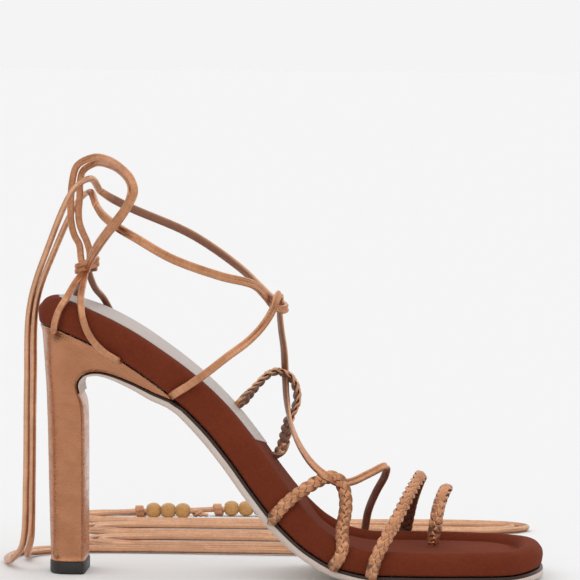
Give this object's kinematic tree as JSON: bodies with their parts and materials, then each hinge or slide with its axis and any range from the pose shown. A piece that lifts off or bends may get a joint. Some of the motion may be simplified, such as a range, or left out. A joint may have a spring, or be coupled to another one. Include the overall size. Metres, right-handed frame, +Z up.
{
  "type": "strappy high-heel sandal",
  "caption": "Open high-heel sandal with a square padded footbed, braided toe and instep straps, a slim block heel and long beaded ankle ties.",
  "frame": {"origin": "middle of the heel tip's underside, on the floor", "axes": "+X towards the toe, +Y towards the inner side of the foot, +Z up"},
  "size_m": [0.2304, 0.2386, 0.1767],
  "materials": {
    "outsole_leather": "pale smooth leather with a dark inked edge",
    "suede_wrap": "brown suede",
    "sock_leather": "pale smooth lining leather",
    "bronze_leather": "metallic bronze foil leather",
    "bronze_cord": "metallic bronze foil leather strip",
    "tip_rubber": "black hard rubber",
    "bead_wood": "turned golden wood"
  },
  "bodies": {
    "root": {"outsole": "outsole_leather", "footbed": "suede_wrap", "heel_sock": "sock_leather", "heel": "bronze_leather", "top_piece": "tip_rubber", "upper": "bronze_leather", "toe_strap": "bronze_leather", "toe_loop": "bronze_leather", "tie_crossing": "bronze_cord", "heel_loop": "bronze_cord", "tie_lateral": "bronze_cord", "tie_medial": "bronze_cord", "wrap_knot_lateral": "bronze_cord", "bead_1_lateral": "bead_wood", "bead_2_lateral": "bead_wood", "bead_3_lateral": "bead_wood", "end_knot_lateral": "bronze_cord", "wrap_knot_medial": "bronze_cord", "bead_1_medial": "bead_wood", "bead_2_medial": "bead_wood", "bead_3_medial": "bead_wood", "end_knot_medial": "bronze_cord"}
  },
  "joints": []
}
